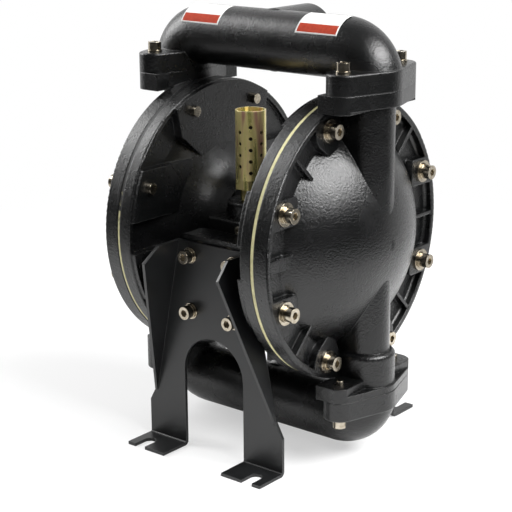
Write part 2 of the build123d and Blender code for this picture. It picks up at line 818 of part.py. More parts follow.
with BuildPart() as muffler_nipple:
    with BuildSketch(Plane.XY.offset(hex_foot)):
        with Locations((0, muffler_y)):
            RegularPolygon(radius=muffler_hex / 2, side_count=6, major_radius=False)
    extrude(amount=muffler_hex_h)
    with BuildSketch(Plane.XY.offset(hex_foot)):
        with Locations((0, muffler_y)):
            Circle(nipple_r)
    extrude(amount=-nipple_len)
    with BuildSketch(Plane.XY.offset(shell_foot)):
        with Locations((0, muffler_y)):
            Circle(nipple_bore_r)
    extrude(amount=-muffler_hex_h - nipple_len, mode=Mode.SUBTRACT)
save(muffler_nipple, "muffler_nipple")

with BuildPart() as muffler_shell:
    with BuildSketch(Plane.XY.offset(shell_foot)):
        with Locations((0, muffler_y)):
            Circle(muffler_r)
    extrude(amount=muffler_len)
    with BuildSketch(Plane.XY.offset(shell_foot + muffler_len)):
        with Locations((0, muffler_y)):
            Circle(muffler_r - muffler_wall)
    extrude(amount=-muffler_dish, mode=Mode.SUBTRACT)
    with BuildSketch(Plane.XY.offset(shell_foot)):
        with Locations((0, muffler_y)):
            Circle(muffler_r - muffler_wall)
    extrude(amount=muffler_len - muffler_dish - muffler_wall, mode=Mode.SUBTRACT)
    # staggered rows of holes, each drilled straight through both walls
    for row in range(vent_rows):
        vent_z = shell_foot + vent_first + row * vent_pitch / 2
        for turn in (0, 90) if row % 2 else (45, 135):
            drill = Plane(origin=(0, muffler_y, vent_z), x_dir=(0, 0, 1),
                          z_dir=(cos(radians(turn + vent_turn)), sin(radians(turn + vent_turn)), 0))
            with BuildSketch(drill):
                Circle(vent_r)
            extrude(amount=muffler_r + 1, both=True, mode=Mode.SUBTRACT)
save(muffler_shell, "muffler_shell")

with BuildPart() as muffler_element:
    with BuildSketch(Plane.XY.offset(shell_foot)):
        with Locations((0, muffler_y)):
            Circle(element_r)
    extrude(amount=muffler_len - muffler_dish - muffler_wall)
save(muffler_element, "muffler_element")

# ---- manifolds: bent tube, two-ear flanges and a threaded port ----------------------------

tube_z = axis_z + manifold_h
bend_z = tube_z - elbow_r
ear_spots = [(x, y) for x in (-riser_x, riser_x) for y in (-ear_pitch, ear_pitch)]
riser_spots = [(-riser_x, 0), (riser_x, 0)]


def bent_tube(radius):
    """A tube's round solid from one joint face up, along and down to the other."""
    with BuildPart() as tube:
        for side in (1, -1):
            with BuildSketch(Plane.XY.offset(top_joint_z)):
                with Locations((side * riser_x, 0)):
                    Circle(radius)
            extrude(amount=bend_z - top_joint_z)
            with BuildSketch(Plane.XY.offset(bend_z)):
                with Locations((side * riser_x, 0)):
                    Circle(radius)
            bend = Axis((side * (riser_x - elbow_r), 0, bend_z), (0, -side, 0))
            revolve(axis=bend, revolution_arc=90)
        with BuildSketch(Plane.YZ.offset(elbow_r - riser_x)):
            with Locations((0, tube_z)):
                Circle(radius)
        extrude(amount=2 * (riser_x - elbow_r))
    return tube


tube_solid = bent_tube(tube_r)
fluid_way = bent_tube(tube_bore_r)

with BuildPart() as manifold_ears:
    with BuildSketch(Plane.XY.offset(top_joint_z)):
        with Locations((riser_x, 0)):
            Circle(tube_r)
        with Locations((riser_x, ear_pitch), (riser_x, -ear_pitch)):
            Circle(ear_r)
        make_hull()
    extrude(amount=manifold_ear_t)
    fillet(faces().sort_by(Axis.Z)[-1].edges(), casting_round)

with BuildPart() as port_boss:
    with BuildSketch(Plane.XZ.offset(-port_y)):
        with Locations((0, tube_z)):
            Circle(port_r)
    extrude(amount=port_y)
    fillet(faces().sort_by(Axis.Y)[-1].edges(), casting_round)

with BuildPart() as manifold_casting:
    add(tube_solid.part)
    add(manifold_ears.part)
    mirror(manifold_ears.part, about=middle)
    add(port_boss.part)
    # fluid way, port and bolt holes
    add(fluid_way.part, mode=Mode.SUBTRACT)
    with BuildSketch(Plane.XZ.offset(-port_y)):
        with Locations((0, tube_z)):
            Circle(port_bore_r)
    extrude(amount=port_thread, mode=Mode.SUBTRACT)
    with BuildSketch(Plane.XZ.offset(port_thread - port_y)):
        with Locations((0, tube_z)):
            Circle(tube_bore_r + port_way)
    extrude(amount=port_y - port_thread, mode=Mode.SUBTRACT)
    with BuildSketch(Plane.XY.offset(top_joint_z)):
        with Locations(*ear_spots):
            Circle(flange_hole_r)
    extrude(amount=manifold_ear_t, mode=Mode.SUBTRACT)

with BuildPart() as discharge_manifold:
    add(manifold_casting.part)
    # fins under the elbows stop the lifted balls
    fin_foot = top_joint_z + ball_rest + ball_lift + ball_r + ball_gap
    fin_top = bend_z + sqrt((elbow_r + tube_r - 1.5)**2 - (elbow_r + stop_fin_w / 2)**2)
    with BuildSketch(Plane.XY.offset(fin_foot)):
        with Locations(*riser_spots):
            Rectangle(stop_fin_w, stop_fin_t)
    extrude(amount=fin_top - fin_foot)
save(discharge_manifold, "discharge_manifold")

with BuildPart() as inlet_manifold:
    mirror(manifold_casting.part, about=level)
    with BuildSketch(Plane.XY.offset(low_joint_z)):
        with Locations(*riser_spots):
            Circle(seat_r + seat_clear)
    extrude(amount=-seat_t, mode=Mode.SUBTRACT)
save(inlet_manifold, "inlet_manifold")

# ---- check valves: seats, balls and face seals --------------------------------------------

with BuildPart() as discharge_seats:
    with BuildSketch(Plane.XY.offset(top_joint_z - seat_t)):
        with Locations(*riser_spots):
            Circle(seat_r)
            Circle(seat_bore_r, mode=Mode.SUBTRACT)
    extrude(amount=seat_t)
    mouths = [face.inner_wires().edges() for face in faces().group_by(Axis.Z)[-1]]
    chamfer(mouths, seat_chamfer)
save(discharge_seats, "discharge_seats")

with BuildPart() as inlet_seats:
    with Locations((0, 0, -2 * joint_h)):
        add(discharge_seats.part)
save(inlet_seats, "inlet_seats")

for level_name, joint_z in (("discharge", top_joint_z), ("inlet", low_joint_z)):
    for side_name, x in (("left", -riser_x), ("right", riser_x)):
        with BuildPart() as check_ball:
            with Locations((x, 0, joint_z + ball_rest)):
                Sphere(ball_r)
        save(check_ball, f"{side_name}_{level_name}_ball")

discharge_seals = rings(Plane.XY.offset(top_joint_z - seal_t), riser_spots, seal_out_r, seal_in_r,
                        seal_t)
save(with_mirror(discharge_seals, level), "flange_seals")

# ---- flange bolts with spring washers -----------------------------------------------------

ear_top = Plane.XY.offset(top_joint_z + manifold_ear_t)
flange_washers = rings(ear_top, ear_spots, spring_washer_r, flange_hole_r, spring_washer_t)
save(flange_washers, "discharge_flange_washers")
save(mirrored(flange_washers, level), "inlet_flange_washers")

flange_bolts = socket_screws(ear_top.offset(spring_washer_t), ear_spots, flange_head_r,
                             flange_head_h, flange_hex, flange_bolt_r,
                             spring_washer_t + manifold_ear_t + flange_reach)
save(flange_bolts, "discharge_flange_bolts")
save(mirrored(flange_bolts, level), "inlet_flange_bolts")

# ---- folded sheet legs, front and back ----------------------------------------------------

edge_run = leg_kink_half - leg_top_half
edge_drop = leg_top_z - leg_kink_z
edge_len = hypot(edge_run, edge_drop)
gusset_mid_x = (leg_top_half + leg_kink_half) / 2
gusset_mid_z = (leg_top_z + leg_kink_z) / 2

with BuildPart() as front_bracket:
    # plate with slanted sides and an arch between its legs
    with BuildSketch(Plane.XZ.offset(block_front)):
        with BuildLine():
            Polyline((0, leg_top_z), (leg_top_half, leg_top_z), (leg_kink_half, leg_kink_z),
                     (leg_half, leg_foot_z), (leg_half, 0), (arch_r, 0), (arch_r, arch_z))
            RadiusArc((arch_r, arch_z), (0, arch_z + arch_r), -arch_r)
            Line((0, arch_z + arch_r), (0, leg_top_z))
        make_face()
        with Locations(*leg_spots):
            Circle(flange_hole_r, mode=Mode.SUBTRACT)
    extrude(amount=sheet_t)
    # foot with a slot open to the front
    with BuildSketch(Plane.XY):
        with Locations(((arch_r + leg_half) / 2, -block_front - foot_len / 2)):
            Rectangle(leg_half - arch_r, foot_len)
        with Locations((slot_x, -block_front - foot_len + slot_len / 2 - slot_w / 4)):
            Rectangle(slot_w, slot_len - slot_w / 2, mode=Mode.SUBTRACT)
        with Locations((slot_x, -block_front - foot_len + slot_len - slot_w / 2)):
            Circle(slot_w / 2, mode=Mode.SUBTRACT)
    extrude(amount=sheet_t)
    # side gusset folded forward along the slanted edge
    fold = Plane(origin=(leg_top_half, -block_front, leg_top_z),
                 x_dir=(edge_run, 0, -edge_drop), z_dir=(edge_drop, 0, edge_run))
    with BuildSketch(fold):
        Polygon((0, 0), (0, -gusset_top_d), (gusset_cut, -gusset_d), (edge_len, -gusset_end_d),
                (edge_len, 0), align=None)
    extrude(amount=-sheet_t)
    # rounded bends of the foot and the gusset
    for (x, y, z), bend in (((slot_x, -block_front, 0), bend_r + sheet_t),
                            ((slot_x, -plate_front, sheet_t), bend_r),
                            ((gusset_mid_x, -block_front, gusset_mid_z), gusset_bend_r)):
        fillet(edges().sort_by_distance((x, y, z))[0], bend)
    mirror(about=middle)
save(front_bracket, "front_bracket")
save(mirrored(front_bracket, Plane.XZ), "rear_bracket")

leg_washers = rings(Plane.XZ.offset(plate_front), leg_spots, leg_washer_r, flange_hole_r,
                    leg_washer_t)
save(leg_washers, "front_leg_washers")
save(mirrored(leg_washers, Plane.XZ), "rear_leg_washers")

spring_seat = plate_front + leg_washer_t
leg_spring_washers = rings(Plane.XZ.offset(spring_seat), leg_spots, spring_washer_r,
                           flange_hole_r, spring_washer_t)
save(leg_spring_washers, "front_leg_spring_washers")
save(mirrored(leg_spring_washers, Plane.XZ), "rear_leg_spring_washers")

screw_seat = spring_seat + spring_washer_t
leg_screws = socket_screws(Plane.XZ.offset(screw_seat), leg_spots, flange_head_r, flange_head_h,
                           flange_hex, flange_bolt_r, screw_seat - block_front + leg_screw_len - 1)
save(leg_screws, "front_leg_screws")
save(mirrored(leg_screws, Plane.XZ), "rear_leg_screws")
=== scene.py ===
import json
from math import cos, pi, radians, sin

import bpy
import numpy as np
from mathutils import Matrix, Vector


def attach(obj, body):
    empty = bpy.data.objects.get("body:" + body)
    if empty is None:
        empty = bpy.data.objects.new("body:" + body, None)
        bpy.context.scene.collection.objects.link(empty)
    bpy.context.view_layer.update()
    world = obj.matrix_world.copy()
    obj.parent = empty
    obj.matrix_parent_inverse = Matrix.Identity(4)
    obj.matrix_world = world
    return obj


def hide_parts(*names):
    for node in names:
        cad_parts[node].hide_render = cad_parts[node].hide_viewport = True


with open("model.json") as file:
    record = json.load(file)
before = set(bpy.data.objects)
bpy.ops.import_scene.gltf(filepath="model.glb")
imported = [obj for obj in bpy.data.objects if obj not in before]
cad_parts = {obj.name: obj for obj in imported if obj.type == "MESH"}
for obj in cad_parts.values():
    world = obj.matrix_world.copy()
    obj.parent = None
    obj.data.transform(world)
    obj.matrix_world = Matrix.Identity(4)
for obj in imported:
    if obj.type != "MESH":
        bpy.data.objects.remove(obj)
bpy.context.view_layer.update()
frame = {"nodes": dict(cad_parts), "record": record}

MM = 0.001
nodes = frame["nodes"]

# ---- camera ------------------------------------------------------------------------------
# A short telephoto view from the right front and a little above, with the pump filling
# the frame. The aim is the middle of the pump, and the small roll is the tripod's.
azimuth, elevation, roll = radians(39.22), radians(16.595), radians(-0.325)
aim = Vector((-15.5, 0.0, 128.63)) * MM
distance = 1127.3 * MM
focal_px, centre_px, frame_px = 1432.5, (259.2, 268.6), 512
back = Vector((sin(azimuth) * cos(elevation), -cos(azimuth) * cos(elevation), sin(elevation)))
level_right = Vector((cos(azimuth), sin(azimuth), 0))
level_up = back.cross(level_right)
right = level_right * cos(roll) + level_up * sin(roll)
up = level_up * cos(roll) - level_right * sin(roll)
camera_data = bpy.data.cameras.new("camera")
camera_data.sensor_width = 36
camera_data.lens = focal_px / frame_px * camera_data.sensor_width
camera_data.shift_x = (frame_px / 2 - centre_px[0]) / frame_px
camera_data.shift_y = (centre_px[1] - frame_px / 2) / frame_px
camera_data.clip_end = 20
camera = bpy.data.objects.new("camera", camera_data)
camera.matrix_world = Matrix.Translation(aim + back * distance) @ Matrix(
    (right, up, back)).transposed().to_4x4()
bpy.context.scene.collection.objects.link(camera)
bpy.context.scene.camera = camera

# ---- studio ------------------------------------------------------------------------------
# A sheet of white paper in a dim room: a wide soft box above the pump on the right, a smaller
# one on the left, and a lit wall behind it. The lens sees white all round, and the paper keeps
# the pump's shadow.


def linear(hex_colour):
    """sRGB hex text to a linear RGBA tuple."""
    c = np.array([int(hex_colour[i:i + 2], 16) for i in (1, 3, 5)]) / 255
    c = np.where(c <= 0.04045, c / 12.92, ((c + 0.055) / 1.055) ** 2.4)
    return (*c.tolist(), 1.0)


def node(tree, kind, settings=None, **inputs):
    """Adds a shader node. settings are its properties, with a ramp's colours as (place, sRGB
    hex) stops; inputs are values, or sockets to link, by the input's name with _ for a space,
    or i0, i1 ... by its place."""
    made = tree.nodes.new("ShaderNode" + kind)
    for name, value in (settings or {}).items():
        if name == "stops":
            for number, (place, colour) in enumerate(value):
                stops = made.color_ramp.elements
                stop = stops[number] if number < 2 else stops.new(place)
                stop.position, stop.color = place, linear(colour)
        else:
            setattr(made, name, value)
    for name, value in inputs.items():
        place = int(name[1:]) if name[0] == "i" and name[1:].isdigit() else name.replace("_", " ")
        if isinstance(value, bpy.types.NodeSocket):
            tree.links.new(value, made.inputs[place])
        else:
            made.inputs[place].default_value = value
    return made


def material(name):
    """A new node material, as (material, tree, its Principled shader)."""
    made = bpy.data.materials.new(name)
    made.use_nodes = True
    shader = next(n for n in made.node_tree.nodes if n.type == "BSDF_PRINCIPLED")
    return made, made.node_tree, shader


world = bpy.data.worlds.new("studio")
bpy.context.scene.world = world
bpy.context.scene.view_settings.view_transform = "Standard"
world.use_nodes = True
tree = world.node_tree
behind = tuple(-back.xy.normalized()) + (0.0,)
seen_by = node(tree, "LightPath").outputs
seen = node(tree, "Math", {"operation": "MAXIMUM"}, i0=seen_by["Is Camera Ray"],
            i1=seen_by["Is Transmission Ray"]).outputs[0]
way = node(tree, "TexCoord").outputs["Generated"]
rear = node(tree, "VectorMath", {"operation": "DOT_PRODUCT"}, i0=way, i1=behind).outputs["Value"]
# metal mirrors the white backdrop where the backdrop is, and the dim room elsewhere
backdrop = node(tree, "MapRange", Value=rear, From_Min=0.2, From_Max=0.75).outputs[0]
mirrored = node(tree, "Math", {"operation": "MULTIPLY"}, i0=seen_by["Is Glossy Ray"],
                i1=backdrop).outputs[0]
seen = node(tree, "Math", {"operation": "MAXIMUM"}, i0=seen, i1=mirrored).outputs[0]
wall = node(tree, "MapRange", Value=rear, From_Min=0.2, From_Max=0.75, To_Min=0.05, To_Max=1.0)
height = node(tree, "SeparateXYZ", Vector=way).outputs["Z"]
ceiling = node(tree, "MapRange", Value=height, From_Min=0.1, From_Max=0.8, To_Min=0.0, To_Max=0.35)
room = node(tree, "Math", {"operation": "MAXIMUM"}, i0=wall.outputs[0], i1=ceiling.outputs[0])
glow = node(tree, "Mix", {"data_type": "FLOAT"}, i0=seen, i2=room.outputs[0], i3=1.0)
tree.links.new(glow.outputs[0], tree.nodes["Background"].inputs["Strength"])
tree.nodes["Background"].inputs["Color"].default_value = (1, 1, 1, 1)

floor_mesh = bpy.data.meshes.new("floor")
reach = 12.0
floor_mesh.from_pydata([(-reach, -reach, 0), (reach, -reach, 0), (reach, reach, 0), (-reach, reach, 0)],
                       [], [(0, 1, 2, 3)])
floor = bpy.data.objects.new("floor", floor_mesh)
bpy.context.scene.collection.objects.link(floor)
paper, tree, shader = material("white_paper")
spot = node(tree, "TexCoord").outputs["Object"]
seen_by = node(tree, "LightPath").outputs
seen = node(tree, "Math", {"operation": "MAXIMUM"}, i0=seen_by["Is Camera Ray"],
            i1=seen_by["Is Transmission Ray"]).outputs[0]
from_pump = node(tree, "VectorMath", {"operation": "LENGTH"}, i0=spot).outputs["Value"]
far = node(tree, "MapRange", {"interpolation_type": "SMOOTHSTEP"}, Value=from_pump, From_Min=0.3,
           From_Max=0.8).outputs[0]
rear = node(tree, "VectorMath", {"operation": "DOT_PRODUCT"}, i0=spot, i1=behind).outputs["Value"]
lit = node(tree, "MapRange", Value=rear, From_Min=0.1, From_Max=0.5).outputs[0]
lit_far = node(tree, "Math", {"operation": "MULTIPLY"}, i0=far, i1=lit).outputs[0]
dim_far = node(tree, "Math", {"operation": "SUBTRACT"}, i0=far, i1=lit_far).outputs[0]
dim_far = node(tree, "Mix", {"data_type": "FLOAT"}, i0=seen, i2=dim_far, i3=0.0).outputs[0]
sheet = node(tree, "Mix", {"data_type": "RGBA"}, i0=dim_far, i6=linear("#f6f6f6"), i7=linear("#3a3a3a"))
white_lens = node(tree, "Math", {"operation": "MAXIMUM"}, i0=far, i1=0.5).outputs[0]
share = node(tree, "Mix", {"data_type": "FLOAT"}, i0=seen, i2=lit_far, i3=white_lens).outputs[0]
glow = node(tree, "Emission", Color=(1, 1, 1, 1), Strength=1.0)
blend = node(tree, "MixShader", i0=share, i1=shader.outputs[0], i2=glow.outputs[0])
tree.links.new(sheet.outputs[2], shader.inputs["Base Color"])
shader.inputs["Roughness"].default_value = 0.9
tree.links.new(blend.outputs[0], tree.nodes["Material Output"].inputs["Surface"])
floor_mesh.materials.append(paper)

# each soft box: bearing from the front and rise in degrees, distance, width, height, watts
for name, bearing, rise, away, wide, tall, watts in (("right_box", 97, 42, 1.9, 1.6, 0.8, 72),
                                                     ("left_box", -75, 30, 1.9, 0.9, 1.5, 34)):
    lamp = bpy.data.lights.new(name, "AREA")
    lamp.shape, lamp.energy, lamp.size, lamp.size_y = "RECTANGLE", watts, wide, tall
    box = bpy.data.objects.new(name, lamp)
    bearing, rise = radians(bearing), radians(rise)
    way_out = Vector((sin(bearing) * cos(rise), -cos(bearing) * cos(rise), sin(rise)))
    box.location = Vector((0, 0, 0.17)) + way_out * away
    box.rotation_euler = way_out.to_track_quat("Z", "Y").to_euler()
    bpy.context.scene.collection.objects.link(box)

# ---- castings ----------------------------------------------------------------------------
# Sand-cast aluminium sprayed with gloss black enamel: the caps, manifolds, middle body and
# its two blocks. The enamel softens the sand's grain and every cast edge, so a highlight
# breaks up into specks and each edge carries a thin light line.


def dress(made, names):
    """Gives the CAD nodes one material."""
    for name in names:
        nodes[name].data.materials.clear()
        nodes[name].data.materials.append(made)


def slots(*names):
    """CAD nodes whose record names one of these material slots."""
    return [part["node"] for part in frame["record"]["subparts"] if part["material_slot"] in names]


enamel, tree, shader = material("black_enamel")
spot = node(tree, "VectorMath", {"operation": "SCALE"}, i0=node(tree, "TexCoord").outputs["Object"],
            Scale=1 / MM).outputs[0]
edge = node(tree, "Bevel", {"samples": 6}, Radius=1.1 * MM)
# sand about 1.5 mm across, the enamel's own peel 0.7 mm, and uneven spray over 30 mm
sand = node(tree, "TexNoise", Vector=spot, Scale=0.65, Detail=3.0, Roughness=0.6)
peel = node(tree, "TexNoise", Vector=spot, Scale=1.5, Detail=2.0, Roughness=0.5)
spray = node(tree, "TexNoise", Vector=spot, Scale=0.035, Detail=4.0, Roughness=0.6)
wave = node(tree, "TexNoise", Vector=spot, Scale=0.11, Detail=2.0, Roughness=0.5)
shine = node(tree, "MapRange", Value=spray.outputs["Fac"], From_Min=0.3, From_Max=0.7,
             To_Min=0.22, To_Max=0.31)
dents = node(tree, "Bump", Height=wave.outputs["Fac"], Strength=1.0, Distance=0.14 * MM,
             Normal=edge.outputs[0])
grit = node(tree, "Bump", Height=sand.outputs["Fac"], Strength=1.0, Distance=0.34 * MM,
            Normal=dents.outputs[0])
skin = node(tree, "Bump", Height=peel.outputs["Fac"], Strength=1.0, Distance=0.03 * MM,
            Normal=grit.outputs[0])
colour = node(tree, "ValToRGB", {"stops": ((0.35, "#060707"), (0.7, "#0d0d0e"))},
              Fac=spray.outputs["Fac"])
tree.links.new(colour.outputs[0], shader.inputs["Base Color"])
tree.links.new(shine.outputs[0], shader.inputs["Roughness"])
tree.links.new(skin.outputs[0], shader.inputs["Normal"])
dress(enamel, slots("black_enamel"))

# ---- patches -----------------------------------------------------------------------------
# Two blank vinyl patches on the discharge tube, white with a red-orange band along the
# lower edge, pressed round the tube by hand.

tube_r, tube_z, patch_lift = 22.7, 309.0, 0.05
patch_w, margin, band_top = 37.0, 1.2, 8.5
vinyl, tree, shader = material("printed_vinyl")
uv = node(tree, "UVMap", {"uv_map": "millimetres"})
split = node(tree, "SeparateXYZ", Vector=uv.outputs[0]).outputs
# the band starts a margin from the lower edge and stops a margin inside both ends
from_end = node(tree, "Math", {"operation": "PINGPONG"}, i0=split["X"], i1=patch_w / 2).outputs[0]
inside = node(tree, "Math", {"operation": "GREATER_THAN"}, i0=from_end, i1=margin).outputs[0]
above = node(tree, "Math", {"operation": "GREATER_THAN"}, i0=split["Y"], i1=margin).outputs[0]
below = node(tree, "Math", {"operation": "LESS_THAN"}, i0=split["Y"], i1=band_top).outputs[0]
band = node(tree, "Math", {"operation": "MULTIPLY"}, i0=inside, i1=above).outputs[0]
band = node(tree, "Math", {"operation": "MULTIPLY"}, i0=band, i1=below).outputs[0]
spot = node(tree, "VectorMath", {"operation": "SCALE"}, i0=node(tree, "TexCoord").outputs["Object"],
            Scale=1 / MM).outputs[0]
worn = node(tree, "TexNoise", Vector=spot, Scale=0.5, Detail=3.0, Roughness=0.6)
white = node(tree, "ValToRGB", {"stops": ((0.3, "#d6d6d4"), (0.7, "#e4e4e2"))},
             Fac=worn.outputs["Fac"]).outputs[0]
red = node(tree, "ValToRGB", {"stops": ((0.3, "#9a2f18"), (0.7, "#ad3b20"))},
           Fac=worn.outputs["Fac"]).outputs[0]
face = node(tree, "Mix", {"data_type": "RGBA"}, i0=band, i6=white, i7=red)
tree.links.new(face.outputs[2], shader.inputs["Base Color"])
shader.inputs["Roughness"].default_value = 0.7
shader.inputs["Specular IOR Level"].default_value = 0.2


def patch(name, middle_x, top_deg, low_deg):
    """A patch on a tube along X: the point at x and angle a from the top towards -Y is
    (x, -r sin a, z + r cos a), with the r of the tube and the film's lift together."""
    x, a = np.meshgrid(np.linspace(-patch_w / 2, patch_w / 2, 25),
                       np.radians(np.linspace(low_deg, top_deg, 25)))
    r = tube_r + patch_lift
    points = np.stack([middle_x + x, -r * np.sin(a), tube_z + r * np.cos(a)], -1).reshape(-1, 3) * MM
    at = np.arange(25 * 25).reshape(25, 25)
    quads = np.stack([at[:-1, :-1], at[:-1, 1:], at[1:, 1:], at[1:, :-1]], -1).reshape(-1, 4)
    mesh = bpy.data.meshes.new(name)
    mesh.from_pydata(points.tolist(), [], quads.tolist())
    across_mm = (x + patch_w / 2).reshape(-1)
    along_mm = ((np.radians(low_deg) - a) * r).reshape(-1)
    layer = mesh.uv_layers.new(name="millimetres")
    corner = np.stack([across_mm, along_mm], -1)[quads.reshape(-1)]
    layer.data.foreach_set("uv", corner.reshape(-1))
    mesh.polygons.foreach_set("use_smooth", np.ones(len(quads), bool))
    mesh.materials.append(vinyl)
    made = bpy.data.objects.new(name, mesh)
    bpy.context.scene.collection.objects.link(made)
    film = made.modifiers.new("film", "SOLIDIFY")
    film.thickness, film.offset = 0.04 * MM, 1.0
    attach(made, "housing")


patch("left_patch", -56.5, 2, 63)
patch("right_patch", 53.5, 2, 63)

# ---- legs --------------------------------------------------------------------------------
# Two brackets folded from 2.5 mm sheet steel and powder coated black. The coat pulls thin on
# the cut edges and leaves a faint pebble on the flats.

powder, tree, shader = material("black_powder_coat")
spot = node(tree, "VectorMath", {"operation": "SCALE"}, i0=node(tree, "TexCoord").outputs["Object"],
            Scale=1 / MM).outputs[0]
edge = node(tree, "Bevel", {"samples": 6}, Radius=0.5 * MM)
pebble = node(tree, "TexNoise", Vector=spot, Scale=1.1, Detail=2.0, Roughness=0.5)
cloud = node(tree, "TexNoise", Vector=spot, Scale=0.03, Detail=4.0, Roughness=0.6)
shine = node(tree, "MapRange", Value=cloud.outputs["Fac"], From_Min=0.3, From_Max=0.7,
             To_Min=0.33, To_Max=0.42)
bump = node(tree, "Bump", Height=pebble.outputs["Fac"], Strength=1.0, Distance=0.025 * MM,
            Normal=edge.outputs[0])
colour = node(tree, "ValToRGB", {"stops": ((0.35, "#0c0d0e"), (0.7, "#141516"))},
              Fac=cloud.outputs["Fac"])
tree.links.new(colour.outputs[0], shader.inputs["Base Color"])
tree.links.new(shine.outputs[0], shader.inputs["Roughness"])
tree.links.new(bump.outputs[0], shader.inputs["Normal"])
dress(powder, slots("black_sheet"))

# ---- fasteners ---------------------------------------------------------------------------
# Nickel-bright steel socket screws and washers. The heads are turned and lightly scuffed, so
# they mirror the room in hard dark and light bands.

plated, tree, shader = material("plated_steel")
spot = node(tree, "VectorMath", {"operation": "SCALE"}, i0=node(tree, "TexCoord").outputs["Object"],
            Scale=1 / MM).outputs[0]
edge = node(tree, "Bevel", {"samples": 6}, Radius=0.4 * MM)
patina = node(tree, "TexNoise", Vector=spot, Scale=0.3, Detail=4.0, Roughness=0.6)
scuff = node(tree, "TexNoise", Vector=spot, Scale=1.4, Detail=3.0, Roughness=0.6)
shine = node(tree, "MapRange", Value=scuff.outputs["Fac"], From_Min=0.35, From_Max=0.7,
             To_Min=0.12, To_Max=0.26)
bump = node(tree, "Bump", Height=scuff.outputs["Fac"], Strength=1.0, Distance=0.03 * MM,
            Normal=edge.outputs[0])
shader.inputs["Metallic"].default_value = 1.0
colour = node(tree, "ValToRGB", {"stops": ((0.3, "#8d8473"), (0.7, "#bfb7a8"))},
              Fac=patina.outputs["Fac"])
tree.links.new(colour.outputs[0], shader.inputs["Base Color"])
tree.links.new(shine.outputs[0], shader.inputs["Roughness"])
tree.links.new(bump.outputs[0], shader.inputs["Normal"])
dress(plated, slots("plated_steel", "stainless_rod", "plate_aluminium", "spool_aluminium"))

# ---- diaphragms and seals ----------------------------------------------------------------
# Two moulded diaphragms whose pale rim shows as a line between the caps. On the left one the
# line is painted dark from the top down to about the rod's height, as painted shade where the
# rim lies recessed. The seals are black nitrile, the valve seats and balls white acetal.

joint_x = 64.0
for side in (-1, 1):
    rubber, tree, shader = material(("left" if side < 0 else "right") + "_diaphragm_elastomer")
    spot = node(tree, "VectorMath", {"operation": "SCALE"}, i0=node(tree, "TexCoord").outputs["Object"],
                Scale=1 / MM).outputs[0]
    flecks = node(tree, "TexNoise", Vector=spot, Scale=0.2, Detail=4.0, Roughness=0.65)
    bare = node(tree, "ValToRGB", {"stops": ((0.3, "#b9b384"), (0.7, "#dcd6a6"))},
                Fac=flecks.outputs["Fac"]).outputs[0]
    split = node(tree, "SeparateXYZ", Vector=spot).outputs
    off_middle = node(tree, "Math", {"operation": "ADD"}, i0=split["X"], i1=-joint_x * side).outputs[0]
    off_middle = node(tree, "Math", {"operation": "ABSOLUTE"}, i0=off_middle).outputs[0]
    # the bare line is about 2.2 mm wide on the right and 1.2 mm on the left
    line = node(tree, "MapRange", Value=off_middle, From_Min=1.2 if side > 0 else 0.7,
                From_Max=1.35 if side > 0 else 0.85, To_Min=0.0, To_Max=1.0).outputs[0]
    if side < 0:
        # the line is painted dark above about 180 to 200 mm high, with a ragged edge: painted shade of
        # the recessed rim
        ragged = node(tree, "MapRange", Value=flecks.outputs["Fac"], From_Min=0.3, From_Max=0.7,
                      To_Min=-25.0, To_Max=25.0).outputs[0]
        height = node(tree, "Math", {"operation": "ADD"}, i0=split["Z"], i1=ragged).outputs[0]
        painted_shade_above = node(tree, "MapRange", Value=height, From_Min=180.0, From_Max=200.0).outputs[0]
        line = node(tree, "Math", {"operation": "MAXIMUM"}, i0=line, i1=painted_shade_above).outputs[0]
    face = node(tree, "Mix", {"data_type": "RGBA"}, i0=line, i6=bare, i7=linear("#0b0b0c"))
    tree.links.new(face.outputs[2], shader.inputs["Base Color"])
    shader.inputs["Roughness"].default_value = 0.5
    dress(rubber, ["left_diaphragm" if side < 0 else "right_diaphragm"])

nitrile, tree, shader = material("black_nitrile")
spot = node(tree, "VectorMath", {"operation": "SCALE"}, i0=node(tree, "TexCoord").outputs["Object"],
            Scale=1 / MM).outputs[0]
bloom = node(tree, "TexNoise", Vector=spot, Scale=0.4, Detail=3.0, Roughness=0.6)
colour = node(tree, "ValToRGB", {"stops": ((0.3, "#0f0f0f"), (0.7, "#1b1b1a"))},
              Fac=bloom.outputs["Fac"])
tree.links.new(colour.outputs[0], shader.inputs["Base Color"])
shader.inputs["Roughness"].default_value = 0.7
dress(nitrile, slots("seal_rubber"))

acetal, tree, shader = material("white_acetal")
spot = node(tree, "VectorMath", {"operation": "SCALE"}, i0=node(tree, "TexCoord").outputs["Object"],
            Scale=1 / MM).outputs[0]
haze = node(tree, "TexNoise", Vector=spot, Scale=0.3, Detail=3.0, Roughness=0.6)
colour = node(tree, "ValToRGB", {"stops": ((0.3, "#dcd9cf"), (0.7, "#e9e6dd"))},
              Fac=haze.outputs["Fac"])
tree.links.new(colour.outputs[0], shader.inputs["Base Color"])
shader.inputs["Roughness"].default_value = 0.4
dress(acetal, slots("seat_plastic", "ball_plastic"))

# ---- muffler and fittings ----------------------------------------------------------------
# Exhaust muffler: a drilled steel tube on a hexagon nipple, both zinc plated and yellow
# passivated, which leaves olive, straw and faint rose streaks down the tube. The nipple's
# thread stands clear of the boss. The sintered element seen through the holes is coloured near
# black, darker than the bronze itself: painted shade that makes the holes read dark.

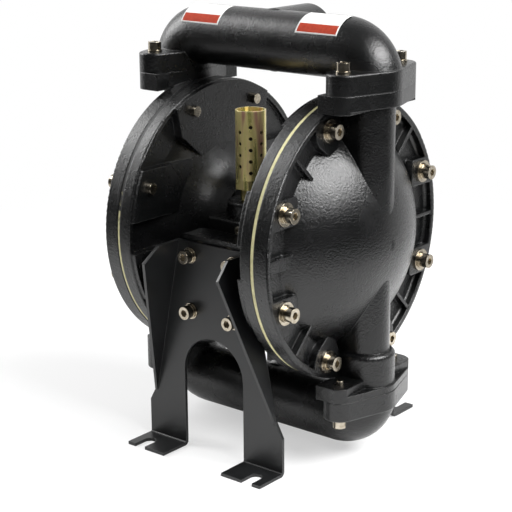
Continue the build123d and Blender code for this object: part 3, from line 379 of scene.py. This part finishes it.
yellow, tree, shader = material("yellow_passivated_steel")
spot = node(tree, "VectorMath", {"operation": "SCALE"}, i0=node(tree, "TexCoord").outputs["Object"],
            Scale=1 / MM).outputs[0]
edge = node(tree, "Bevel", {"samples": 6}, Radius=0.35 * MM)
drawn_out = node(tree, "VectorMath", {"operation": "MULTIPLY"}, i0=spot, i1=(1.0, 1.0, 0.12))
streaks = node(tree, "TexNoise", Vector=drawn_out.outputs[0], Scale=0.22, Detail=1.0, Roughness=0.4)
shine = node(tree, "MapRange", Value=streaks.outputs["Fac"], From_Min=0.3, From_Max=0.7,
             To_Min=0.24, To_Max=0.34)
split = node(tree, "SeparateXYZ", Vector=spot).outputs
# the thread's crests lie between the boss and the hexagon's foot, round the muffler's axis
thread_pitch, thread_top, thread_r, muffler_y = 1.34, 201.4, 8.3, -28.0
turns = node(tree, "Math", {"operation": "MULTIPLY"}, i0=split["Z"], i1=2 * pi / thread_pitch).outputs[0]
crest = node(tree, "Math", {"operation": "SINE"}, i0=turns).outputs[0]
under_hex = node(tree, "Math", {"operation": "LESS_THAN"}, i0=split["Z"], i1=thread_top).outputs[0]
off_axis = node(tree, "VectorMath", {"operation": "DISTANCE"},
                i0=node(tree, "CombineXYZ", X=split["X"], Y=split["Y"]).outputs[0],
                i1=(0, muffler_y, 0)).outputs["Value"]
near_axis = node(tree, "Math", {"operation": "LESS_THAN"}, i0=off_axis, i1=thread_r).outputs[0]
thread = node(tree, "Math", {"operation": "MULTIPLY"}, i0=under_hex, i1=near_axis).outputs[0]
thread = node(tree, "Math", {"operation": "MULTIPLY"}, i0=thread, i1=crest).outputs[0]
groove = node(tree, "Bump", Height=thread, Strength=1.0, Distance=0.35 * MM, Normal=edge.outputs[0])
shader.inputs["Metallic"].default_value = 0.78
colour = node(tree, "ValToRGB", {"stops": ((0.3, "#8f9148"), (0.68, "#b98f78"), (0.42, "#d9cd86"),
                                          (0.55, "#e2d193"))},
              Fac=streaks.outputs["Fac"])
tree.links.new(colour.outputs[0], shader.inputs["Base Color"])
tree.links.new(shine.outputs[0], shader.inputs["Roughness"])
tree.links.new(groove.outputs[0], shader.inputs["Normal"])
dress(yellow, slots("yellow_zinc"))

# the drilled tube is pressed on with a full row of holes towards the front right: the shell's
# mesh turned 45 degrees about the muffler's axis
shell = nodes["muffler_shell"]
turned = shell.data.copy()
axis = Matrix.Translation((0.0, muffler_y * MM, 0.0))
turned.transform(axis @ Matrix.Rotation(radians(45), 4, "Z") @ axis.inverted())
muffler_tube = bpy.data.objects.new("muffler_tube", turned)
bpy.context.scene.collection.objects.link(muffler_tube)
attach(muffler_tube, "housing")
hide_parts("muffler_shell")

brass, tree, shader = material("turned_brass")
spot = node(tree, "VectorMath", {"operation": "SCALE"}, i0=node(tree, "TexCoord").outputs["Object"],
            Scale=1 / MM).outputs[0]
tarnish = node(tree, "TexNoise", Vector=spot, Scale=0.25, Detail=4.0, Roughness=0.6)
edge = node(tree, "Bevel", {"samples": 6}, Radius=0.4 * MM)
colour = node(tree, "ValToRGB", {"stops": ((0.3, "#9c8443"), (0.7, "#c2a766"))},
              Fac=tarnish.outputs["Fac"])
tree.links.new(colour.outputs[0], shader.inputs["Base Color"])
shader.inputs["Metallic"].default_value = 1.0
shader.inputs["Roughness"].default_value = 0.3
tree.links.new(edge.outputs[0], shader.inputs["Normal"])
dress(brass, slots("brass_fitting", "bushing_bronze"))

# the sintered element is coloured near black, darker than bronze: painted shade that makes the muffler's
# holes read dark, with the bead centres a little paler
sinter, tree, shader = material("sintered_bronze")
spot = node(tree, "VectorMath", {"operation": "SCALE"}, i0=node(tree, "TexCoord").outputs["Object"],
            Scale=1 / MM).outputs[0]
beads = node(tree, "TexVoronoi", Vector=spot, Scale=2.0)
bump = node(tree, "Bump", Height=beads.outputs["Distance"], Strength=1.0, Distance=0.15 * MM)
colour = node(tree, "ValToRGB", {"stops": ((0.0, "#4a3d24"), (0.6, "#17130c"))},
              Fac=beads.outputs["Distance"])
tree.links.new(colour.outputs[0], shader.inputs["Base Color"])
shader.inputs["Metallic"].default_value = 0.6
shader.inputs["Roughness"].default_value = 0.6
tree.links.new(bump.outputs[0], shader.inputs["Normal"])
dress(sinter, slots("sintered_bronze"))
